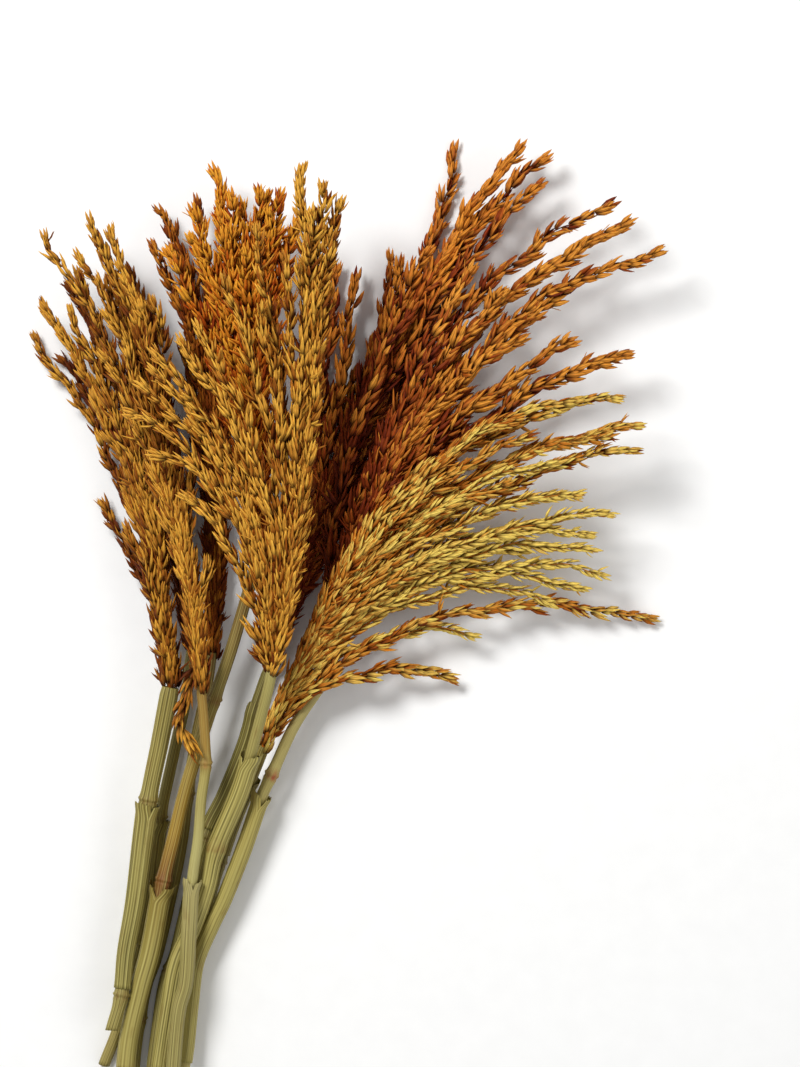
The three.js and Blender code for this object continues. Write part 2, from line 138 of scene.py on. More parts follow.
# Each row is one branch: how far up the rachis it leaves, its tip (x, y, z), how far it bows to the
# right of its chord, and where they aren't the usual ones, its bend along the chord and its rise.
# The first row is the central spike. Tassels are listed from the lowest in the pile to the topmost.
BEND = 0.5
RISE = 3
TASSELS = {
    "tassel_2": [
        (0, -183, 216, 20, 14), (0, -190, 168, 6, 16), (8, -165, 154, 12, 10), (10, -151, 200, 22, 8),
        (20, -141, 228, 24, 8), (24, -125, 176, 18, 2), (0, -142, 92, 6, 6), (30, -131, 206, 26, 5),
        (5, -116, 136, 10, 0),
    ],
    "tassel_7": [
        (0, -108, 232, 22, 8), (5, -127, 244, 24, 20), (10, -124, 265, 18, 22), (20, -99, 272, 24, 12),
        (0, -93, 123, 8, 2), (15, -79, 150, 10, -4), (25, -84, 213, 16, 6), (5, -107, 176, 12, 6),
        (30, -68, 200, 18, -2), (12, -112, 254, 22, 14), (18, -92, 240, 22, 6),
    ],
    "tassel_8": [
        (0, 116, 306, 26, -18, 0.6), (25, 72, 308, 3, 12), (60, 134, 298, 22, -24, 0.6),
        (70, 131, 281, 30, -17, 0.6), (15, -6, 229, 8, 4), (20, 6, 222, 14, 6), (30, 29, 236, 10, 12),
        (90, 38, 231, 24, 2), (110, 53, 241, 28, 0), (10, 15, 136, 6, -4), (40, 47, 181, 10, 0),
        (20, 72, 215, 8, -8), (5, 62, 186, 14, -10), (30, 34, 158, 16, -4), (50, 84, 242, 18, -12),
        (10, 52, 128, 10, -8), (44, 99, 262, 22, -18, 0.6), (36, 78, 230, 18, -12),
        (24, 22, 180, 14, 2), (0, 2, 100, 6, -2), (6, -8, 150, 6, 2), (14, 34, 118, 10, -6),
        (2, 30, 92, 10, -8), (18, 8, 164, 8, 4),
    ],
    "tassel_1": [
        (0, -197, 204, 36, 17), (0, -207, 182, 5, 20), (0, -161, 75, 5, 8), (10, -177, 225, 44, 13),
        (24, -163, 247, 42, 11), (34, -156, 240, 50, 9), (44, -137, 198, 48, 5), (14, -151, 112, 34, 9),
        (4, -145, 86, 30, 7), (20, -181, 200, 46, 14), (12, -171, 178, 40, 12), (28, -148, 224, 52, 8),
        (0, -134, 44, 40, 3), (4, -127, 78, 44, 2), (2, -144, 62, 30, 5), (8, -139, 132, 46, 6),
    ],
    "tassel_3": [
        (0, -87, 290, 40, 10), (0, -116, 239, 38, 10), (5, -100, 266, 46, 10), (10, -74, 275, 48, 5),
        (14, -66, 270, 40, 3), (12, -56, 276, 50, -1), (20, -52, 274, 42, -3), (5, -42, 276, 38, -6),
        (25, -79, 251, 54, 4), (0, -93, 200, 36, 7), (20, -64, 239, 56, 0), (0, -36, 245, 34, -6),
        (10, -48, 262, 52, -3), (15, -76, 254, 50, 5), (8, -58, 244, 54, 1), (18, -30, 258, 46, -7),
        (4, -100, 246, 44, 10), (6, -84, 262, 44, 8), (16, -44, 252, 50, -4),
    ],
    "tassel_6": [
        (0, 187, 250, 42, -50, 0.62), (5, 175, 264, 36, -50, 0.62), (10, 207, 233, 48, -49, 0.62),
        (30, 152, 177, 50, -26), (14, 187, 166, 46, -38, 0.6), (60, 104, 210, 46, -12),
        (70, 86, 228, 38, -10), (50, 66, 181, 46, -10), (20, 47, 205, 34, -20), (30, 110, 150, 44, -26),
        (20, 82, 132, 40, -22), (10, 60, 104, 34, -18), (40, 128, 196, 48, -22),
        (34, 118, 180, 50, -26), (44, 88, 192, 46, -14), (16, 72, 158, 40, -17), (26, 94, 126, 40, -27),
        (36, 142, 212, 50, -26), (6, 34, 84, 30, -12), (12, 44, 120, 34, -16), (18, 58, 142, 38, -18),
    ],
    "tassel_4": [
        (0, -151, 249, 76, 10), (0, -197, 246, 58, 22), (8, -172, 235, 70, 17), (14, -166, 258, 66, 15),
        (12, -131, 202, 78, 2), (24, -121, 206, 70, -1), (24, -152, 196, 80, 9), (5, -157, 171, 74, 12),
        (0, -130, 106, 66, 8), (10, -116, 72, 62, 3), (10, -99, 98, 62, -3), (0, -141, 136, 70, 10),
        (14, -96, -92, 48, 9), (16, -143, 226, 74, 8), (8, -133, 150, 72, 6), (0, -112, 48, 60, 4),
        (2, -104, 76, 62, 1), (4, -88, 40, 56, -2), (6, -120, 96, 66, 6),
    ],
    "tassel_9": [
        (0, 192, 121, 66, -50), (26, 75, -44, 6, -13), (5, 204, -6, 4, -43, 0.45, 14),
        (20, 89, -14, 20, -22), (24, 139, 4, 22, -36, 0.6), (34, 172, 24, 34, -36),
        (40, 164, 40, 44, -34), (50, 174, 63, 54, -26), (56, 155, 79, 60, -24), (60, 190, 107, 62, -26),
        (64, 175, 115, 68, -30), (60, 178, 138, 70, -40), (74, 153, 139, 72, -32),
        (80, 111, 124, 72, -22), (44, 86, 96, 66, -20), (60, 137, 98, 66, -24), (30, 153, 76, 44, -36),
        (38, 137, 58, 46, -28), (20, 122, 40, 36, -30), (28, 108, 30, 30, -24), (34, 98, 50, 46, -22),
        (40, 86, 74, 56, -18), (52, 112, 86, 62, -22), (66, 124, 114, 70, -24), (60, 98, 120, 72, -18),
        (46, 76, 94, 66, -15), (50, 162, 52, 50, -28), (36, 158, 14, 30, -36),
    ],
    "tassel_5": [
        (0, -30, 287, 98, 16), (4, -127, 105, 88, 26, 0.68, 8), (10, -141, 132, 90, 24, 0.6, 8),
        (14, -135, 148, 92, 22, 0.6, 8), (18, -127, 156, 96, 20, 0.58, 6),
        (20, -126, 169, 98, 20, 0.55, 6), (26, -109, 177, 102, 18, 0.55, 6),
        (30, -98, 188, 104, 15, 0.55, 6), (0, -106, 80, 78, 12, 0.6, 6), (0, -64, -6, 62, 3),
        (34, -79, 219, 104, 12), (36, -59, 249, 104, 10), (40, -54, 200, 108, 6),
        (44, -39, 232, 108, 6), (50, -15, 277, 100, 4), (50, -3, 267, 92, -2), (30, -18, 181, 98, 4),
        (24, -21, 136, 92, 2), (30, -30, 160, 100, 4), (44, -22, 262, 104, 6), (40, -8, 246, 98, -1),
        (36, -28, 226, 106, 6),
    ],
}


# ---- Curves and layout, the same as in the CAD part ----
def unit(vectors):
    return vectors / np.linalg.norm(vectors, axis=-1, keepdims=True)


def across(tangents):
    """The two directions across a line: to its side, and as far up as they can point."""
    side = unit(np.cross(tangents, UP))
    return side, np.cross(side, tangents)


def turned(first, second, angle):
    """Directions turned by each angle from the first ones towards the second."""
    return first * np.cos(angle)[..., None] + second * np.sin(angle)[..., None]


def square_to(along, vectors):
    """The directions nearest to the vectors that are square to along."""
    return unit(vectors - along * np.sum(vectors * along, axis=1)[:, None])


def smooth(t):
    x = np.clip(t, 0.0, 1.0)
    return x * x * (3 - 2 * x)


def centreline(path, ts):
    """Points of the smooth curve through a stalk's path."""
    points = np.array(path, float)
    points = np.vstack([2 * points[0] - points[1], points, 2 * points[-1] - points[-2]])
    spans = len(path) - 1
    place = np.clip(np.asarray(ts, float), 0, 1) * spans
    index = np.minimum(place.astype(int), spans - 1)
    w = (place - index)[:, None]
    before, start, end, after = (points[index + k] for k in range(4))
    leaving = (end - before) / 2
    arriving = (after - start) / 2
    return (
        (2 * w**3 - 3 * w**2 + 1) * start
        + (w**3 - 2 * w**2 + w) * leaving
        + (3 * w**2 - 2 * w**3) * end
        + (w**3 - w**2) * arriving
    )


def stalk_of(tassel):
    """The stalk that carries a tassel."""
    return STALKS[tassel.replace("tassel", "stalk")]


def stalk_radius(stalk, y):
    butt, neck = stalk["radius"]
    first = stalk["path"][0][1]
    last = stalk["path"][-1][1]
    radius = butt + (neck - butt) * np.clip((y - first) / (last - first), 0, 1)
    for node in stalk["nodes"]:
        radius = radius + NODE_SWELL * np.exp(-(((y - node) / NODE_LENGTH) ** 2))
    return radius


def bezier(control, ts):
    t = np.asarray(ts, float)[..., None]
    start, middle, tip = control
    return (1 - t) ** 2 * start + 2 * t * (1 - t) * middle + t * t * tip


def branch_radius(t, is_spike):
    base = SPIKE_BASE if is_spike else BRANCH_BASE
    body = SPIKE_BODY if is_spike else BRANCH_BODY
    swell = base + (body - base) * smooth(t / 0.3)
    return swell + (BRANCH_TIP - swell) * smooth((t - 0.7) / 0.3)


def branch_point(control, ts):
    """Points of a branch as the CAD part builds it, straight from ring to ring."""
    place = np.asarray(ts, float) * BRANCH_STEPS
    ring = np.minimum(place.astype(int), BRANCH_STEPS - 1)
    start = bezier(control, ring / BRANCH_STEPS)
    end = bezier(control, (ring + 1) / BRANCH_STEPS)
    return start + (end - start) * (place - ring)[..., None]


def control_points(start, row):
    """A branch's start, middle control point and tip."""
    tip = np.array(row[1:4], float)
    bow = row[4]
    bend = row[5] if len(row) > 5 else BEND
    rise = row[6] if len(row) > 6 else RISE
    chord = tip - start
    right = unit(np.array([chord[1], -chord[0], 0.0]))
    middle = start + chord * bend + right * 2 * bow
    middle[2] += 2 * rise
    return [start, middle, tip]


def lay_over(control, is_spike, placed):
    """Lifts a branch, all but its start, until it lies over everything that is already there."""
    ts = np.arange(1, LAY_STEPS + 1) / LAY_STEPS
    radius = branch_radius(ts, is_spike)
    for _ in range(LAY_ROUNDS):
        at = branch_point(control, ts)
        needed = radius + FLOOR_GAP - at[:, 2]
        if len(placed):
            away = np.hypot(*(at[:, None, k] - placed[:, k] for k in (0, 1)))
            reach = radius[:, None] + placed[:, 3] + CLEARANCE
            over = np.sqrt(np.maximum(reach**2 - away**2, 0)) + placed[:, 2] - at[:, None, 2]
            needed = np.maximum(needed, np.where(away < reach, over, -np.inf).max(axis=1))
        worst = int(np.argmax(needed))
        if needed[worst] < LAY_ERROR:
            return
        t = ts[worst]
        middle_share = 2 * t * (1 - t)
        tip_share = t * t
        lift = needed[worst] / (middle_share**2 + tip_share**2)
        control[1][2] += lift * middle_share
        control[2][2] += lift * tip_share


def grow_tassel(name, placed):
    neck = centreline(stalk_of(name)["path"], [0.9999, 1.0])
    base = neck[1] + unit(neck[1] - neck[0]) * CLEARANCE
    branches = []
    for i, row in enumerate(TASSELS[name]):
        start = base
        if i > 0:
            rachis = branches[0]
            start = branch_point(rachis, row[0] / np.linalg.norm(rachis[2] - rachis[0]))
        control = control_points(start.copy(), row)
        lay_over(control, i == 0, placed)
        branches.append(control)
    return branches


def samples_of(branches, stalk):
    """Every sample of a tassel and its stalk as (x, y, z, radius) rows."""
    ts = np.arange(LAY_STEPS + 1) / LAY_STEPS
    rows = []
    for i, control in enumerate(branches):
        rows.append(np.column_stack([branch_point(control, ts), branch_radius(ts, i == 0)]))
    line = centreline(stalk["path"], np.arange(STALK_SAMPLES + 1) / STALK_SAMPLES)
    rows.append(np.column_stack([line, stalk_radius(stalk, line[:, 1]) + SHEATH_WALL]))
    return np.vstack(rows)


class Line:
    """A curve measured along its length, in millimetres."""

    def __init__(self, points):
        self.points = points
        steps = np.linalg.norm(np.diff(points, axis=0), axis=1)
        self.arc = np.concatenate([[0], np.cumsum(steps)])
        self.length = self.arc[-1]

    def at(self, s):
        return np.stack([np.interp(s, self.arc, self.points[:, k]) for k in range(3)], axis=-1)

    def tangent(self, s):
        reach = 0.6
        ahead = self.at(np.minimum(s + reach, self.length))
        behind = self.at(np.maximum(s - reach, 0))
        return unit(ahead - behind)

    def where_y(self, y):
        return float(np.interp(y, self.points[:, 1], self.arc))


def ring_angles(sides):
    return 2 * np.pi * np.arange(sides) / sides


def ring_offsets(line, s, angle):
    """Unit offsets around the line: one row of directions for each place s."""
    side, up = across(line.tangent(s))
    return turned(side[:, None], up[:, None], angle)


# ---- Meshes ----
class Mesher:
    """Collects closed bodies in millimetres and turns them into one mesh in metres."""

    def __init__(self):
        self.vertices = []
        self.groups = []
        self.count = 0

    def add(self, vertices, *groups):
        """Points, and groups of faces with three or four corners, each with the corners' map places."""
        self.vertices.append(vertices.reshape(-1, 3))
        for faces, uvs in groups:
            faces = faces.reshape(-1, faces.shape[-1]) + self.count
            self.groups.append((faces, uvs.reshape(-1, 2)))
        self.count += len(self.vertices[-1])

    def tube(self, rings, v, u_range=(0.0, 1.0), peaks=None):
        """A closed tube through rings of points, with a fan over each end. v is each ring's V.

        A fan meets in the middle of its ring, or at its peak, where V is 0 or 1.
        """
        count, sides = rings.shape[:2]
        tops = [rings[0].mean(axis=0), rings[-1].mean(axis=0)] if peaks is None else peaks
        points = np.vstack([rings.reshape(-1, 3), tops])
        row = np.arange(count - 1)[:, None] * sides
        i = np.arange(sides)
        j = (i + 1) % sides
        quads = np.stack([row + i, row + sides + i, row + sides + j, row + j], axis=-1)
        low, high = u_range
        u = low + (high - low) * np.arange(sides + 1) / sides
        u0, u1 = u[:-1], u[1:]
        v0, v1 = v[:-1, None], v[1:, None]
        corners = ((u0, v0), (u0, v1), (u1, v1), (u1, v0))
        quad_uvs = np.stack([np.stack(np.broadcast_arrays(a, b), -1) for a, b in corners], axis=2)
        start = np.full(sides, count * sides)
        last = (count - 1) * sides
        tris = np.stack([
            np.column_stack([start, i, j]),
            np.column_stack([start + 1, last + j, last + i]),
        ])
        tri_uvs = np.zeros((2, sides, 3, 2))
        tri_uvs[:, :, 0, 0] = (u0 + u1) / 2
        tri_uvs[0, :, 1:, 0] = np.column_stack([u0, u1])
        tri_uvs[1, :, 1:, 0] = np.column_stack([u1, u0])
        tri_uvs[0, ..., 1] = v[0]
        tri_uvs[1, ..., 1] = v[-1]
        if peaks is not None:
            tri_uvs[:, :, 0, 1] = [[0], [1]]
        self.add(points, (quads, quad_uvs), (tris, tri_uvs))

    def piece(self, name, material, node):
        """Makes the object, in place of the CAD node that it stands for."""
        faces = [face for faces, _ in self.groups for face in faces.tolist()]
        uvs = np.vstack([uvs for _, uvs in self.groups])
        mesh = bpy.data.meshes.new(name)
        mesh.from_pydata(np.vstack(self.vertices) * MM, [], faces)
        mesh.shade_smooth()
        layer = mesh.uv_layers.new(name=UV_NAME)
        layer.uv.foreach_set("vector", uvs.astype(np.float32).ravel())
        mesh.validate()
        mesh.materials.append(material)
        piece = bpy.data.objects.new(name, mesh)
        bpy.context.scene.collection.objects.link(piece)
        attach(piece, "root")
        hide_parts(node)
        return piece


# ---- Materials ----
def srgb(red, green, blue):
    """A linear colour from 8-bit sRGB values."""
    values = np.array([red, green, blue]) / 255
    linear = np.where(values <= 0.04045, values / 12.92, ((values + 0.055) / 1.055) ** 2.4)
    return (*linear.tolist(), 1.0)


class Graph:
    """A procedural material, with one short call for each kind of node."""

    def __init__(self, name):
        self.material = bpy.data.materials.new(name)
        self.material.use_nodes = True
        self.tree = self.material.node_tree
        self.shader = self.tree.nodes["Principled BSDF"]

    def feed(self, socket, value):
        if isinstance(value, bpy.types.NodeSocket):
            self.tree.links.new(value, socket)
        else:
            socket.default_value = value

    def node(self, kind, *inputs, **settings):
        made = self.tree.nodes.new(kind)
        for key, value in settings.items():
            setattr(made, key, value)
        for socket, value in zip(made.inputs, inputs):
            self.feed(socket, value)
        return made

    def named(self, kind, **inputs):
        """A node with some of its inputs given by their names."""
        made = self.tree.nodes.new(kind)
        for key, value in inputs.items():
            self.feed(made.inputs[key], value)
        return made

    def math(self, operation, a, b=0.0):
        return self.node("ShaderNodeMath", a, b, operation=operation).outputs[0]

    def plus(self, a, b):
        return self.math("ADD", a, b)

    def times(self, a, b):
        return self.math("MULTIPLY", a, b)

    def vector(self, x, y, z):
        return self.node("ShaderNodeCombineXYZ", x, y, z).outputs[0]

    def noise(self, vector, scale, detail=2.0):
        node = self.named("ShaderNodeTexNoise", Vector=vector, Scale=scale, Detail=detail)
        return node.outputs["Fac"]

    def chance(self, vector):
        node = self.node("ShaderNodeTexWhiteNoise", vector, noise_dimensions="3D")
        return node.outputs["Value"]

    def mix(self, share, a, b, blend="MIX"):
        node = self.node("ShaderNodeMix", data_type="RGBA", blend_type=blend)
        self.feed(node.inputs["Factor"], share)
        self.feed(node.inputs[6], a)
        self.feed(node.inputs[7], b)
        return node.outputs[2]

    def ramp(self, share, stops):
        """Colours or grey levels at places from 0 to 1."""
        node = self.tree.nodes.new("ShaderNodeValToRGB")
        elements = node.color_ramp.elements
        while len(elements) < len(stops):
            elements.new(0.5)
        for element, (place, colour) in zip(elements, stops):
            element.position = place
            element.color = colour if isinstance(colour, tuple) else (colour, colour, colour, 1)
        self.feed(node.inputs[0], share)
        return node.outputs[0]

    def uv(self):
        """U and V of the piece's own map."""
        node = self.node("ShaderNodeUVMap", uv_map=UV_NAME)
        split = self.node("ShaderNodeSeparateXYZ", node.outputs[0])
        return split.outputs[0], split.outputs[1]

    def finish(self, colour, roughness, height, depth):
        bump = self.named("ShaderNodeBump", Distance=depth, Height=height)
        self.feed(self.shader.inputs["Base Color"], colour)
        self.feed(self.shader.inputs["Roughness"], roughness)
        self.feed(self.shader.inputs["Normal"], bump.outputs[0])
        return self.material


# ---- Tassels ----
TILES = 8  # the map's tiles: one column for each tone, one row for each chance variant
TILE_MARGIN = 0.04
HUSK_SIDES = 5
HUSK_RINGS = ((0.1, 0.62), (0.45, 1.0), (0.8, 0.52))  # place along the husk, width
HUSK_SECTION = (1.0, 0.85, 0.85, 1.0, 1.08)  # flatter on the inside, keeled outwards
HUSK_BULGE = 0.06  # as a share of its length
HUSK_WIDTH = 0.62  # each husk of an open spikelet, as a share of the spikelet's width
CLOSED_WIDTH = 0.9  # the same for a closed one
PAIR_LIFT = 34  # degrees that the two spikelets of a pair stand apart from their side
SPIKE_SPACING = 0.62  # the spacing on a central spike, as a share of the usual one
ASTRAY = 0.025  # share of the spikelets that stand far off
RACHIS_SIDES = 6
CLUMP_LENGTH = 9.0  # the pairs bunch up about this often along a branch
CROWN_REACH = 26.0  # how far up from the neck the spikelets stand off like the stalk's rim
FOOT = 7.0  # how far down over the stalk's end the first spikelets can start
PAINTED_TOP_LIGHT = 0.36  # painted light: how much paler a spikelet on the upper side of a branch is painted than one on its flank
PAINTED_DEPTH_SHADE = 0.34  # painted shade: how much darker a spikelet is painted that lies deep under other branches
PALER = 0.36  # how much paler the patches, margins and tips of a husk are than the rest of it
FLOOR_ZONE = 2.0  # how far up from the floor things are pressed together, in mm

# the three spikelets at a branch's tip: how far back they start, their turn sideways and their size
TIP_STARTS = np.array([1.1, 0.85, 1.0])
TIP_TURNS = np.array([-0.16, 0.0, 0.18])
TIP_SIZES = np.array([0.6, 0.78, 0.62])

# anther threads on each branch
THREADS = {"tassel_3": 12, "tassel_6": 4, "tassel_5": 2, "tassel_4": 2}

# spacing along the branch, spikelet length and width in mm, spread in degrees, clumping in mm, and
# whether each spikelet is open, a pair of husks side by side, or closed into one
STYLES = {
    "braid": (3.8, 13.5, 5.0, 10, 0.7, True),
    "beads": (4.1, 15.0, 6.9, 14, 0.8, True),
    "fine": (2.5, 12.0, 3.9, 14, 0.5, False),
    "rope": (3.5, 13.5, 5.2, 10, 0.6, True),
    "feather": (3.2, 13.5, 5.6, 24, 0.8, True),
    "dense": (2.1, 9.5, 2.9, 27, 0.3, False),
}

# style, tone at the base and at the tip (0 dark, 1 pale), and the colours those tones run through
# the tassels low in the pile, tassel_2, tassel_7 and tassel_8, have darker tones, partly their own colour
# and partly painted shade
TASSEL_LOOKS = {
    "tassel_1": ("braid", 0.32, 0.72, ((60, 12, 0), (156, 82, 12), (238, 176, 62))),
    "tassel_2": ("braid", 0.12, 0.48, ((64, 18, 2), (134, 64, 8), (200, 132, 34))),
    "tassel_3": ("feather", 0.4, 0.84, ((92, 16, 0), (204, 86, 4), (252, 178, 52))),
    "tassel_4": ("braid", 0.38, 0.74, ((58, 12, 0), (158, 84, 12), (244, 182, 66))),
    "tassel_5": ("braid", 0.38, 0.62, ((62, 12, 0), (170, 90, 10), (250, 190, 72))),
    "tassel_6": ("beads", 0.04, 0.82, ((68, 10, 4), (164, 66, 12), (240, 162, 58))),
    "tassel_7": ("braid", 0.26, 0.66, ((62, 12, 0), (156, 72, 8), (226, 148, 44))),
    "tassel_8": ("beads", 0.06, 0.88, ((66, 6, 2), (160, 58, 10), (238, 152, 50))),
    "tassel_9": ("fine", 0.44, 1.2, ((96, 26, 2), (214, 118, 10), (255, 224, 108))),
}

# Branches that look different from the rest of their tassel: style, base tone, tip tone
BROWN_ROPE = ("rope", 0.34, 0.56)
GOLD_ROPE = ("rope", 0.42, 0.8)
DARK_TUFT = ("dense", 0.0, 0.14)
DARK_BEADS = ("beads", 0.0, 0.36)
PALE_BRAID = ("braid", 0.5, 0.95)
STRAW_BRAID = ("braid", 0.42, 0.84)
ORANGE_FEATHER = ("feather", 0.56, 0.8)
BRANCH_LOOKS = {
    "tassel_9": {
        **dict.fromkeys((0, 1, 2, 9, 10, 13, 14, 22, 23, 24, 25), BROWN_ROPE),
        **dict.fromkeys((11, 12, 21), GOLD_ROPE),
    },
    "tassel_8": {
        **dict.fromkeys((9, 12, 13, 15, 19, 21, 22), DARK_TUFT),
        6: PALE_BRAID,
    },
    "tassel_6": {
        **dict.fromkeys((10, 11, 18, 19), DARK_TUFT),
        **dict.fromkeys((7, 8, 9, 14, 15, 16, 20), DARK_BEADS),
    },
    "tassel_5": {
        **dict.fromkeys((1, 2, 3, 4, 5, 6, 7, 8), STRAW_BRAID),
        **dict.fromkeys((0, 14, 15, 19, 20), ORANGE_FEATHER),
    },
}
TASSEL_SLOTS = {
    **dict.fromkeys(("tassel_1", "tassel_2"), "tassel_brown"),
    **dict.fromkeys(("tassel_3", "tassel_6", "tassel_7"), "tassel_amber"),
    **dict.fromkeys(("tassel_4", "tassel_5", "tassel_9"), "tassel_gold"),
    "tassel_8": "tassel_russet",
}


def husk_shape():
    """One husk, 1 long and 1 in half width and half thickness: its points and its groups of faces."""
    angles = -ring_angles(HUSK_SIDES)
    ring = np.column_stack([np.cos(angles), np.sin(angles)]) * np.array(HUSK_SECTION)[:, None]
    rings = []
    for place, width in HUSK_RINGS:
        rings.append(np.column_stack([ring * width, np.full(HUSK_SIDES, place)]))
    husk = Mesher()
    husk.tube(np.array(rings), np.array(HUSK_RINGS)[:, 0], (1.0, 0.0), [(0, 0, 0), (0, 0, 1)])
    return husk.vertices[0], husk.groups


HUSK = husk_shape()


def tile_uvs(local, column, row):
    """Map corners inside each husk's own tile."""
    inside = TILE_MARGIN + (1 - 2 * TILE_MARGIN) * local
    return (np.stack([column, row], -1)[:, None] + inside) / TILES


def add_husks(mesher, rng, origin, along, outward, length, width, tone):
    points, groups = HUSK
    x, y, z = points.T
    count = len(origin)
    lateral = np.cross(outward, along)
    bulge = HUSK_BULGE * length[:, None] * 4 * z * (1 - z)
    curl = (rng.normal(0.03, 0.06, count) * length)[:, None] * z**3
    thickness = width * rng.uniform(0.45, 0.68, count)
    vertices = (
        origin[:, None]
        + lateral[:, None] * (x * width[:, None] / 2)[..., None]
        + outward[:, None] * (y * thickness[:, None] / 2 + bulge + curl)[..., None]
        + along[:, None] * (z * length[:, None])[..., None]
    )
    column = np.clip(np.round(tone * (TILES - 1)), 0, TILES - 1)
    row = rng.integers(0, TILES, count)
    step = (np.arange(count) * len(points))[:, None, None]
    mesher.add(vertices, *((faces + step, tile_uvs(uvs, column, row)) for faces, uvs in groups))


def add_spikelets(mesher, rng, origin, along, outward, length, width, tone, is_open):
    """Spikelets, each a pair of husks side by side whose tips part, or just one closed husk."""
    if not is_open:
        add_husks(mesher, rng, origin, along, outward, length, CLOSED_WIDTH * width, tone)
        return
    count = len(origin)
    lateral = np.cross(outward, along)
    for side in (-1, 1):
        part = np.radians(rng.normal(3, 2.2, count))[:, None] * side
        lift = np.radians(rng.normal(0, 2.4, count))[:, None]
        leaning = unit(along + lateral * np.tan(part) + outward * np.tan(lift))
        facing = square_to(leaning, outward)
        foot = origin + lateral * (side * 0.2 * width)[:, None]
        long = length * rng.normal(0.94, 0.09, count)
        shade = np.clip(tone + rng.normal(0, 0.12, count), 0, 1)
        add_husks(mesher, rng, foot, leaning, facing, long, HUSK_WIDTH * width, shade)


def add_rachis(mesher, line, is_spike, tone):
    """The thin stem along the middle of a branch."""
    s = np.linspace(0, line.length * 0.97, max(6, int(line.length / 7)))
    radii = (2.3, 1.8, 0.5) if is_spike else (1.3, 0.9, 0.35)
    radius = np.interp(s / line.length, (0, 0.12, 1), radii)
    offsets = ring_offsets(line, s, ring_angles(RACHIS_SIDES))
    rings = line.at(s)[:, None] + offsets * radius[:, None, None]
    column = round(tone * (TILES - 1))
    v = (0.5 + 0.4 * s / line.length) / TILES
    mesher.tube(rings, v, ((column + 0.05) / TILES, (column + 0.95) / TILES))


def wavy_line(control, rng, foot):
    """A branch's curve with a gentle random sway, drawn out backwards by its foot."""
    t = np.linspace(0, 1, 160)
    points = bezier(control, t)
    length = np.linalg.norm(control[2] - control[0])
    side, up = across(unit(np.gradient(points, axis=0)))
    sway, bob = 0.0, 0.0
    for wave_length, height in ((75, 1.3), (38, 0.8), (21, 0.35)):
        turns = 2 * np.pi * length * t / (wave_length * rng.uniform(0.8, 1.25))
        sway += height * np.sin(turns + rng.uniform(0, 6.28))
        bob += 0.4 * height * np.sin(turns + rng.uniform(0, 6.28))
    grown = smooth(t / 0.35)
    points = points + side * (sway * grown)[:, None] + up * (bob * grown)[:, None]
    if foot:
        points = np.vstack([points[0] - unit(points[1] - points[0]) * foot, points])
    return Line(points)


def spikelet_places(rng, length, spacing, clump, end):
    """Distances along a branch for each pair, bunched into loose clumps."""
    count = int((length - end) / spacing)
    places = (np.arange(count) + rng.uniform(0, 1) + rng.uniform(-0.25, 0.25, count)) * spacing
    places = places + clump * np.sin(2 * np.pi * places / CLUMP_LENGTH + rng.uniform(0, 6.28))
    return np.clip(places, 0, length - end)


class Canopy:
    """How high the topmost branches lie over each cell of a grid on the floor, in millimetres, for the
    painted shade under them.
    """

    CELL = 4.0
    EDGE = 340.0

    def __init__(self, bunches):
        size = int(2 * self.EDGE / self.CELL)
        self.tops = np.zeros((size, size))
        for branches in bunches:
            for control in branches:
                points = bezier(control, np.linspace(0, 1, 100))
                column, row = self.cell(points)
                for i in (-1, 0, 1):
                    for j in (-1, 0, 1):
                        np.maximum.at(self.tops, (column + i, row + j), points[:, 2])

    def cell(self, points):
        places = ((points[:, :2] + self.EDGE) / self.CELL).astype(int)
        return places[:, 0], places[:, 1]

    def depth_below_canopy(self, points):
        """0 for a point on a topmost branch, rising to 1 for one that lies deep under others: how much
        painted shade it gets.
        """
        return smooth((self.tops[self.cell(points)] - points[:, 2] - 2.5) / 9)


def add_tip(mesher, rng, line, style, tone):
    """The spikelets that end a branch."""
    _, length, width, _, _, is_open = STYLES[style]
    start = line.length - length * TIP_STARTS
    turn = TIP_TURNS + rng.normal(0, 0.06, len(TIP_TURNS))
    tangent = line.tangent(start)
    side, up = across(tangent)
    along = unit(turned(tangent, side, turn))
    sizes = TIP_SIZES * length, TIP_SIZES * width
    shade = np.full(len(start), np.clip(tone, 0, 1))
    add_spikelets(mesher, rng, line.at(start), along, up, *sizes, shade, is_open)


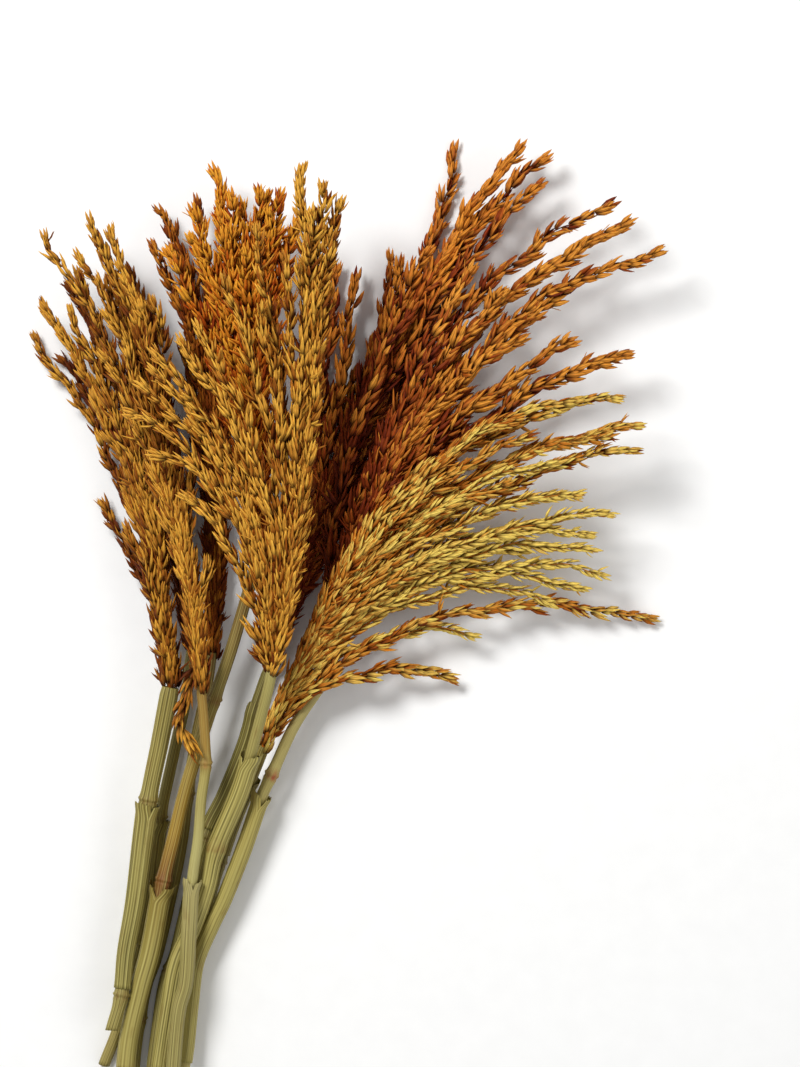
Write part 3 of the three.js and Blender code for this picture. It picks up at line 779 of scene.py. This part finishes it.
def add_branch(mesher, rng, line, look, canopy, is_spike, left_at, crown):
    """Spikelets in pairs, one pair to the left, the next to the right, all along the branch."""
    style, base_tone, tip_tone = look
    spacing, length, width, spread, clump, is_open = STYLES[style]
    if is_spike:
        spacing *= SPIKE_SPACING
    s = np.repeat(spikelet_places(rng, line.length, spacing, clump, 0.6 * length), 2)
    count = len(s)
    pair = np.arange(count) // 2
    partner = np.arange(count) % 2
    share = s / line.length
    size = np.interp(share, (0, 0.1, 0.8, 1), (0.85, 1.0, 0.94, 0.66)) * rng.normal(1, 0.11, count)
    side_angle = np.where(pair % 2 == 0, 0, np.pi)
    lift = np.radians(PAIR_LIFT) * np.where(partner == 0, 1, -1) * np.where(pair % 2 == 0, 1, -1)
    if is_spike:
        side_angle = side_angle + (pair // 2 % 2) * np.pi / 2
    twist = rng.normal(0, 0.25) + 0.45 * np.sin(share * rng.uniform(3, 8) + rng.uniform(0, 6))
    angle = side_angle + lift + twist + rng.normal(0, 0.22, count)
    lean = np.radians(rng.normal(spread, 4, count))
    lean *= np.interp(share, (0, 0.85, 1), (1, 1, 0.5))
    is_astray = rng.random(count) < ASTRAY
    lean = np.where(is_astray, lean + rng.uniform(0.25, 0.75, count), lean)
    tangent = line.tangent(s)
    radial = turned(*across(tangent), angle)
    along = unit(turned(tangent, radial, lean))
    outward = square_to(along, radial)
    outward = turned(outward, np.cross(outward, along), rng.normal(0, 0.3, count))
    stand = np.interp(s + left_at, (-FOOT, 0, CROWN_REACH), (0.9 * crown, 0.75 * crown, 0.5))
    origin = line.at(s) + radial * stand[:, None]
    tone = base_tone + (tip_tone - base_tone) * smooth(share) + rng.normal(0, 0.08)
    # painted light on the upper side of each branch, and painted shade on the spikelets that lie deep under
    # other branches
    tone = tone + PAINTED_TOP_LIGHT * (radial[:, 2] - 0.35) - PAINTED_DEPTH_SHADE * canopy.depth_below_canopy(origin)
    tone = np.clip(tone + rng.normal(0, 0.18, count), 0, 1)
    add_spikelets(mesher, rng, origin, along, outward, size * length, size * width, tone, is_open)
    add_tip(mesher, rng, line, style, tip_tone + 0.05)
    add_rachis(mesher, line, is_spike, max(base_tone * 0.7, 0.1))


def add_threads(mesher, rng, line, count):
    """Thin curled anther threads that hang out between the spikelets."""
    for _ in range(count):
        s = rng.uniform(0.25, 0.97) * line.length
        tangent = line.tangent(s)
        radial = turned(*across(tangent), rng.uniform(-0.6, np.pi + 0.6))
        start = line.at(s) + radial * 2.5
        reach = rng.uniform(4, 8)
        hook = rng.uniform(-1, 1)
        t = np.linspace(0, 1, 6)
        run = t[:, None]
        thread = Line(
            start
            + tangent * reach * run
            + radial * reach * rng.uniform(0.3, 0.8) * run
            + np.cross(radial, tangent) * hook * 3.5 * run**2
        )
        radius = np.interp(t, (0, 0.8, 1), (0.22, 0.28, 0.1))
        offsets = ring_offsets(thread, thread.arc, ring_angles(4))
        rings = thread.points[:, None] + offsets * radius[:, None, None]
        column = TILES - 1 - rng.integers(0, 3)
        u_range = ((column + 0.1) / TILES, (column + 0.9) / TILES)
        mesher.tube(rings, (0.2 + 0.6 * t) / TILES, u_range)


def tassel_material(name, colours):
    """Dry papery husk. Its tile on the map gives each spikelet its tone, its nerves and its chances, and
    paints shade over the base of each husk.
    """
    dark, middle, light = (srgb(*colour) for colour in colours)
    # painted shade: the colour that the base of each husk darkens to, where it tucks in between the others
    crevice_shade = srgb(*(0.62 * np.array(colours[0])))
    g = Graph(name)
    u, v = g.uv()
    column = g.math("FLOOR", g.times(u, TILES))
    row = g.math("FLOOR", g.times(v, TILES))
    across_husk = g.math("FRACT", g.times(u, TILES))
    along_husk = g.math("FRACT", g.times(v, TILES))
    chance = g.chance(g.vector(column, row, 0.5))
    other_chance = g.chance(g.vector(column, row, 7.5))
    tone = g.math("DIVIDE", column, TILES - 1)
    tone = g.plus(tone, g.times(g.math("SUBTRACT", chance, 0.5), 0.16))
    stops = [(0.0, dark), (0.5, middle), (1.0, light)]
    colour = g.ramp(tone, stops)
    paler = g.ramp(g.plus(tone, PALER), stops)
    colour = g.mix(g.times(other_chance, 0.22), colour, srgb(160, 58, 4))
    patch = g.noise(g.vector(g.times(across_husk, 3), along_husk, g.plus(row, column)), 2.4)
    colour = g.mix(g.ramp(patch, [(0.35, 0.0), (0.75, 0.5)]), colour, paler)
    margin = g.math("ABSOLUTE", g.math("COSINE", g.times(across_husk, 2 * math.pi)))
    colour = g.mix(g.ramp(margin, [(0.6, 0.0), (1.0, 0.7)]), colour, paler)
    colour = g.mix(g.ramp(along_husk, [(0.7, 0.0), (1.0, 0.5)]), colour, paler)
    # painted shade over the lower part of each husk, fading out towards its middle
    unshaded_share = g.ramp(along_husk, [(0.0, 0.0), (0.27, 0.42), (0.5, 0.93), (0.7, 1.0)])
    nerves = g.math("COSINE", g.times(across_husk, 2 * math.pi * 6))
    nerves = g.plus(g.times(nerves, 0.5), 0.5)
    lines = g.ramp(nerves, [(0.0, 0.52), (0.6, 1.0)])
    colour = g.mix(unshaded_share, crevice_shade, colour)
    colour = g.mix(1.0, colour, lines, "MULTIPLY")
    roughness = g.plus(g.times(patch, 0.2), 0.56)
    g.shader.inputs["Specular IOR Level"].default_value = 0.14
    height = g.plus(g.times(nerves, 0.5), patch)
    return g.finish(colour, roughness, height, 0.00012)


def keep_above_floor(mesher):
    """Presses what would reach under the floor flat onto it."""
    for points in mesher.vertices:
        z = points[:, 2]
        pressed = FLOOR_ZONE * np.exp((np.minimum(z, FLOOR_ZONE) - FLOOR_ZONE) / FLOOR_ZONE)
        points[:, 2] = np.where(z < FLOOR_ZONE, pressed, z)


def make_tassels():
    placed = np.zeros((0, 4))
    grown = {}
    for name in TASSELS:
        grown[name] = grow_tassel(name, placed)
        placed = np.vstack([placed, samples_of(grown[name], stalk_of(name))])
    canopy = Canopy(grown.values())
    for number, (name, branches) in enumerate(grown.items()):
        rng = np.random.default_rng(100 + number)
        neck_radius = stalk_of(name)["radius"][1]
        *usual_look, colours = TASSEL_LOOKS[name]
        mesher = Mesher()
        for i, control in enumerate(branches):
            left_at = TASSELS[name][i][0]
            foot = FOOT * rng.uniform(0.1, 1) if left_at == 0 else 0
            line = wavy_line(control, rng, foot)
            look = BRANCH_LOOKS.get(name, {}).get(i, usual_look)
            add_branch(mesher, rng, line, look, canopy, i == 0, left_at - foot, neck_radius)
            add_threads(mesher, rng, line, THREADS.get(name, 0))
        keep_above_floor(mesher)
        piece = mesher.piece(name + "_spikelets", tassel_material(name + "_husk", colours), name)


# ---- Stalks and sheaths ----
STALK_SIDES = 88
BUTT_V = 0.02  # the cut end's share of the map's V; the stalk takes the rest
RIB_HEIGHT = 0.14
BROAD_RIBS = 13  # ribs around a stalk, and the finer ones between them
FINE_RIBS = 23

# colours at places from the butt (0) to the neck (1), then the dark colour of its streaks and of the painted
# shade in its grooves, the colour of its nodes, and how strong the ribs are
STALK_LOOKS = {
    "stalk_1": (
        ((0, (150, 136, 72)), (0.6, (140, 126, 62)), (1, (132, 116, 52))),
        (84, 74, 26), (111, 81, 35), 1.1,
    ),
    "stalk_2": (
        ((0, (154, 138, 76)), (0.4, (138, 124, 58)), (1, (134, 120, 58))),
        (86, 74, 26), (98, 74, 28), 0.8,
    ),
    "stalk_3": (
        (
            (0, (172, 154, 86)), (0.38, (123, 74, 28)), (0.47, (165, 128, 44)),
            (0.74, (140, 124, 58)), (0.9, (122, 92, 38)),
        ),
        (86, 64, 18), (114, 68, 26), 0.8,
    ),
    "stalk_4": (
        (
            (0, (178, 166, 106)), (0.6, (174, 166, 104)), (0.77, (166, 152, 84)),
            (0.84, (160, 126, 54)), (1, (150, 112, 44)),
        ),
        (130, 109, 48), (150, 98, 42), 0.5,
    ),
    "stalk_5": (
        ((0, (165, 150, 82)), (0.6, (156, 140, 74)), (1, (163, 152, 88))),
        (95, 82, 30), (123, 87, 36), 0.6,
    ),
    "stalk_6": (
        ((0, (176, 161, 96)), (0.5, (165, 151, 83)), (1, (181, 165, 102))),
        (118, 104, 46), (158, 25, 19), 0.45,
    ),
    "stalk_7": (
        ((0, (154, 140, 76)), (0.5, (128, 111, 46)), (1, (101, 74, 24))),
        (79, 66, 20), (99, 64, 24), 0.9,
    ),
    "stalk_8": (
        ((0, (150, 136, 74)), (0.5, (114, 103, 42)), (1, (92, 80, 28))),
        (66, 58, 18), (88, 58, 22), 0.9,
    ),
    "stalk_9": (
        ((0, (161, 146, 80)), (0.5, (145, 130, 64)), (1, (128, 109, 46))),
        (90, 78, 30), (114, 80, 36), 1.2,
    ),
}

# colours low and high on the sheath, the dark colour of its streaks and of the painted shade in its grooves,
# and how strong the ribs are
SHEATH_LOOKS = {
    "stalk_1": ((142, 130, 66), (136, 120, 56), (84, 76, 26), 1.3),
    "stalk_2": ((142, 128, 62), (138, 124, 58), (82, 72, 26), 0.9),
    "stalk_3": ((160, 146, 76), (142, 122, 52), (98, 84, 32), 0.9),
    "stalk_4": ((148, 136, 78), (168, 156, 102), (98, 88, 42), 0.9),
    "stalk_5": ((168, 154, 84), (168, 152, 80), (84, 78, 28), 1.6),
    "stalk_6": ((166, 152, 80), (164, 148, 76), (106, 94, 38), 0.8),
    "stalk_8": ((110, 99, 38), (99, 87, 32), (64, 56, 18), 1.0),
    "stalk_9": ((147, 132, 64), (136, 122, 54), (88, 76, 30), 1.2),
}

# how many prongs the torn rim has, their height and the curl of the rim in mm, where the split faces
# (degrees from the right, over the top), and how far it opens (radians)
SHEATH_RIMS = {
    "stalk_1": (2, 3.0, 0.9, 60, 0.25),
    "stalk_2": (1, 4.0, 0.6, 120, 0.3),
    "stalk_3": (2, 6.5, 2.2, 110, 0.9),
    "stalk_4": (3, 4.0, 1.6, 75, 0.4),
    "stalk_5": (2, 4.0, 1.3, 130, 0.4),
    "stalk_6": (2, 5.0, 1.9, 70, 0.6),
    "stalk_8": (1, 9.0, 0.8, 300, 0.5),
    "stalk_9": (2, 3.0, 1.0, 60, 0.3),
}
SPLIT = 10.0  # how far down from the rim the sheath is split and curls, in mm
LAP = 0.5  # how far the sheath wraps past its own edge (radians)
OUTSIDE = 0.48  # the share of the map's U that the outside of a sheath takes


def stalk_line(stalk):
    return Line(centreline(stalk["path"], np.linspace(0, 1, 500)))


def rib_pattern(turn, seed):
    """Ribs around a stalk, from -1 to 1. Turn goes from 0 to 1 once around it."""
    fine = np.cos(2 * np.pi * FINE_RIBS * turn + 2.3 * seed)
    return 0.5 * np.cos(2 * np.pi * BROAD_RIBS * turn + seed) + 0.5 * fine


def rind_v(s, length=1.0):
    """V on a stalk's map, at a distance along the stalk."""
    return BUTT_V + (1 - BUTT_V) * s / length


def stalk_places(line, nodes):
    """Where the rings go: every 2.6 mm, and closer at the nodes."""
    places = [np.arange(0, line.length, 2.6), [line.length]]
    for node in nodes:
        places.append(np.arange(node - 6, node + 6, 0.6))
    places = np.unique(np.clip(np.concatenate(places), 0, line.length))
    keep = np.concatenate([[True], np.diff(places) > 0.25])
    return places[keep]


def make_stalk(name, number):
    """A ribbed stalk, with a ring and a crease at its nodes and a hollowed pithy cut end."""
    stalk = STALKS[name]
    stops, *look = STALK_LOOKS[name]
    line = stalk_line(stalk)
    nodes = [line.where_y(y) for y in stalk["nodes"]]
    s = stalk_places(line, nodes)
    turn = np.arange(STALK_SIDES) / STALK_SIDES
    angle = 2 * np.pi * turn - np.pi / 2
    centre = line.at(s)
    radius = stalk_radius(stalk, centre[:, 1])[:, None] - 0.1
    away = np.min(np.abs(s[:, None] - np.array(nodes)), axis=1)
    strength = RIB_HEIGHT * look[-1] * smooth((away - 1.5) / 4)
    radius = radius + strength[:, None] * rib_pattern(turn, number)
    for node in nodes:
        ring = 0.45 * np.exp(-(((s - node - 1.2) / 0.8) ** 2))
        crease = 0.4 * np.exp(-(((s - node + 0.8) / 0.7) ** 2))
        rough = 1 + 0.4 * np.sin(9 * angle + number)
        radius = radius + ring[:, None] * rough - crease[:, None]
    radius *= np.interp(s, (0, line.length - 5, line.length), (1, 1, 0.88))[:, None]
    offsets = ring_offsets(line, s, angle)
    rings = centre[:, None] + offsets * radius[..., None]
    slant = 0.9 * np.cos(angle + number)[:, None] * line.tangent(s[:1])
    rings[0] += slant
    pith = []
    for share, depth in ((0.08, 0.9), (0.5, 0.6), (0.82, 0.3), (0.95, 0.0)):
        inner = centre[0] + offsets[0] * radius[0][:, None] * share
        pith.append(inner + line.tangent(s[:1]) * depth + slant * share)
    rings = np.concatenate([np.array(pith), rings])
    v = np.concatenate([np.linspace(0, BUTT_V * 0.9, len(pith)), rind_v(s, line.length)])
    mesher = Mesher()
    mesher.tube(rings, v)
    keep_above_floor(mesher)
    marks = [rind_v(node, line.length) for node in nodes]
    stops = [(rind_v(place), colour) for place, colour in stops]
    material = rind_material(name + "_rind", (stops, *look), marks, line.length, number, True)
    mesher.piece(name + "_rind", material, name)


def add_wall(mesher, outer, inner, v):
    """A closed sheet between two grids of points, each (rows, columns, 3). v is each row's V."""
    rows, columns = outer.shape[:2]
    points = np.concatenate([outer.reshape(-1, 3), inner.reshape(-1, 3)])
    grid = np.arange(rows * columns).reshape(rows, columns)
    under = grid + rows * columns
    u = np.broadcast_to(np.linspace(0, OUTSIDE, columns), (rows, columns))
    v = np.broadcast_to(v[:, None], (rows, columns))
    map_of = np.concatenate([
        np.stack([u, v], -1).reshape(-1, 2),
        np.stack([1 - u, v], -1).reshape(-1, 2),
    ])

    def band(a, b, c, d):
        return np.stack([a, b, c, d], axis=-1).reshape(-1, 4)

    faces = np.vstack([
        band(grid[:-1, :-1], grid[1:, :-1], grid[1:, 1:], grid[:-1, 1:]),
        band(under[:-1, :-1], under[:-1, 1:], under[1:, 1:], under[1:, :-1]),
        band(grid[-1, :-1], under[-1, :-1], under[-1, 1:], grid[-1, 1:]),
        band(grid[0, :-1], grid[0, 1:], under[0, 1:], under[0, :-1]),
        band(grid[:-1, 0], under[:-1, 0], under[1:, 0], grid[1:, 0]),
        band(grid[:-1, -1], grid[1:, -1], under[1:, -1], under[:-1, -1]),
    ])
    mesher.add(points, (faces, map_of[faces]))


def make_sheath(name, number):
    """A leaf sheath: a thin sheet wrapped round the stalk past its own edge, split and torn at the top."""
    stalk = STALKS[name]
    low_y, high_y, flare = stalk["sheath"]
    low, high, dark, ribs = SHEATH_LOOKS[name]
    prongs, prong, curl, facing, opening = SHEATH_RIMS[name]
    rng = np.random.default_rng(40 + number)
    line = stalk_line(stalk)
    start, end = line.where_y(low_y), line.where_y(high_y)
    rows, columns = 84, 96
    rise = 1 - (1 - np.linspace(0, 1, rows)) ** 1.8
    v = rise[:, None]
    a = np.linspace(0, 1, columns)
    jag = np.interp(a, np.linspace(0, 1, 33), rng.uniform(-1, 0.6, 33))
    crown = 0.5 - 0.5 * np.cos(2 * np.pi * prongs * a)
    crown = crown * np.interp(a, np.linspace(0, 1, 6), rng.uniform(0.35, 1, 6))
    rim = prong * crown + 1.3 * jag
    s = np.clip(start + (end + rim - start) * v, 0, line.length - 1)
    top = smooth((s - end + SPLIT) / SPLIT)
    extent = 2 * np.pi + LAP - (opening + LAP) * top
    angle = np.radians(facing) + np.pi + (a - 0.5) * extent
    centre = line.at(s)
    outwards = turned(*across(line.tangent(s)), angle)
    bore = stalk_radius(stalk, centre[..., 1]) + CLEARANCE + flare * smooth(v)
    lip = curl * top**3 * (0.3 + 0.7 * crown)
    crumple = 0.5 * top * np.interp(a, np.linspace(0, 1, 15), rng.uniform(-0.4, 1, 15))
    lap = 0.5 * smooth((a - 0.75) / 0.25) * (1 - top)
    ripple = RIB_HEIGHT * ribs * rib_pattern(a, number + 20)
    middle = bore + lip + lap + crumple + ripple + 0.25
    wall = 0.24 - 0.12 * top
    outer = centre + outwards * (middle + wall)[..., None]
    inner = centre + outwards * (middle - wall)[..., None]
    mesher = Mesher()
    add_wall(mesher, outer, inner, rise)
    keep_above_floor(mesher)
    sheath = name.replace("stalk", "sheath")
    nodes = [y for y in stalk["nodes"] if low_y + 8 < y < high_y - 8]
    marks = [(line.where_y(y) - start) / (end - start) for y in nodes]
    look = (((0, low), (0.6, low), (1, high)), dark, STALK_LOOKS[name][2], ribs)
    material = rind_material(sheath + "_leaf", look, marks, end - start, number + 20, False)
    mesher.piece(sheath + "_leaf", material, sheath)


def rib_shade(g, turn, seed):
    """The rib pattern as a shader value from 0 in the grooves to 1 on the ribs."""
    broad = g.math("COSINE", g.plus(g.times(turn, 2 * math.pi * BROAD_RIBS), seed))
    fine = g.math("COSINE", g.plus(g.times(turn, 2 * math.pi * FINE_RIBS), 2.3 * seed))
    return g.plus(g.plus(g.times(broad, 0.2), g.times(fine, 0.3)), 0.5)


def rind_material(name, look, marks, length, seed, is_stalk):
    """Dried ribbed rind: streaks along it, painted shade in the grooves and a painted highlight on the ribs,
    brown nodes and blotches, and a pithy cut end.
    """
    stops, dark, node_colour, ribs = look
    dark = srgb(*dark)
    g = Graph(name)
    u, v = g.uv()
    turn = u
    if not is_stalk:
        turn = g.math("DIVIDE", g.math("MINIMUM", u, g.math("SUBTRACT", 1.0, u)), OUTSIDE)
    far = g.times(v, length / 25)
    streaks = g.noise(g.vector(g.times(turn, 42), g.times(far, 0.5), seed), 1.0, 3.0)
    bands = g.noise(g.vector(g.times(turn, 13), g.times(far, 0.3), seed + 4), 1.0)
    blotch = g.noise(g.vector(g.times(turn, 4), far, seed + 9), 1.4, 4.0)
    ridge = rib_shade(g, turn, seed)
    colour = g.ramp(v, [(place, srgb(*stop)) for place, stop in stops])
    colour = g.mix(g.ramp(streaks, [(0.36, min(0.4 * ribs, 0.6)), (0.54, 0.0)]), colour, dark)
    # painted shade in the grooves between the ribs
    groove_shade = g.ramp(ridge, [(0.1, min(0.9 * ribs, 0.95)), (0.42, 0.0)])
    groove_shade = g.times(groove_shade, g.ramp(streaks, [(0.35, 1.0), (0.65, 0.4)]))
    colour = g.mix(groove_shade, colour, dark)
    # painted highlight along the tops of the ribs
    crest_highlight = g.ramp(ridge, [(0.58, 0.0), (0.9, min(0.5 * ribs, 0.7))])
    colour = g.mix(crest_highlight, colour, srgb(196, 186, 112))
    colour = g.mix(g.ramp(bands, [(0.5, 0.0), (0.72, 0.3)]), colour, srgb(180, 168, 98))
    colour = g.mix(g.ramp(blotch, [(0.58, 0.0), (0.76, 0.4)]), colour, srgb(118, 84, 34))
    if marks:
        levels = [(0.0, 0.0)]
        for mark in sorted(marks):
            for away, level in ((-0.014, 0.0), (-0.004, 0.8), (0.006, 0.5), (0.022, 0.0)):
                levels.append((mark + away, level))
        spotted = g.times(g.ramp(v, levels), g.ramp(bands, [(0.35, 1.0), (0.62, 0.2)]))
        colour = g.mix(spotted, colour, srgb(*node_colour))
    if is_stalk:
        pores = g.noise(g.vector(g.times(u, 30), g.times(v, 900), seed), 1.0)
        pith = g.mix(g.ramp(pores, [(0.4, 0.0), (0.7, 0.6)]), srgb(214, 200, 150), srgb(150, 122, 70))
        colour = g.mix(g.math("LESS_THAN", v, BUTT_V * 0.95), colour, pith)
    roughness = g.plus(g.times(blotch, 0.25), 0.46)
    g.shader.inputs["Specular IOR Level"].default_value = 0.3
    height = g.plus(streaks, g.times(bands, 0.6))
    return g.finish(colour, roughness, height, 0.0004)


# ---- Floor, light and camera ----
def make_stage():
    bpy.ops.mesh.primitive_plane_add(size=12, location=(0, 0, 0))
    floor = bpy.context.object
    floor.name = "floor"
    g = Graph("floor_paint")
    place = g.node("ShaderNodeTexCoord").outputs["Object"]
    grain = g.noise(place, 60.0, 3.0)
    shade = g.ramp(grain, [(0.0, srgb(243, 243, 242)), (1.0, srgb(249, 249, 248))])
    floor.data.materials.append(g.finish(shade, 0.9, grain, 0.00002))


def add_lamp(name, place, size, power):
    """A round lamp that shines at the middle of the floor."""
    lamp = bpy.data.lights.new(name, "AREA")
    lamp.shape = "DISK"
    lamp.size = size
    lamp.energy = power
    lamp_object = bpy.data.objects.new(name, lamp)
    lamp_object.location = place
    towards = -np.array(place)
    lamp_object.rotation_euler = (
        math.atan2(math.hypot(towards[0], towards[1]), -towards[2]),
        0,
        math.atan2(towards[1], towards[0]) - math.pi / 2,
    )
    bpy.context.scene.collection.objects.link(lamp_object)


def make_light():
    world = bpy.data.worlds.new("studio")
    world.use_nodes = True
    background = world.node_tree.nodes["Background"]
    background.inputs["Color"].default_value = (1, 1, 1, 1)
    background.inputs["Strength"].default_value = 0.38
    bpy.context.scene.world = world
    add_lamp("key", (-0.9, 1.1, 1.9), 0.8, 48)
    add_lamp("fill", (1.4, -0.6, 1.6), 1.4, 9)
    bpy.context.scene.view_settings.view_transform = "Standard"


# The camera looks straight down. One of its picture widths is 512 mm on the bunch.
VIEW_HEIGHT = 0.683
VIEW_CENTRE = (0.0346, 0.0509)
CAMERA_HEIGHT = 3.5
BUNCH_MIDDLE = 0.045
SENSOR = 36


def make_camera():
    camera = bpy.data.cameras.new("camera")
    camera.sensor_fit = "VERTICAL"
    camera.sensor_height = SENSOR
    camera.lens = SENSOR * CAMERA_HEIGHT / VIEW_HEIGHT
    camera.clip_end = 100
    holder = bpy.data.objects.new("camera", camera)
    holder.location = (*VIEW_CENTRE, CAMERA_HEIGHT + BUNCH_MIDDLE)
    bpy.context.scene.collection.objects.link(holder)
    bpy.context.scene.camera = holder


make_stage()
make_light()
make_camera()
for number, name in enumerate(STALKS):
    make_stalk(name, number)
    if "sheath" in STALKS[name]:
        make_sheath(name, number)
make_tassels()
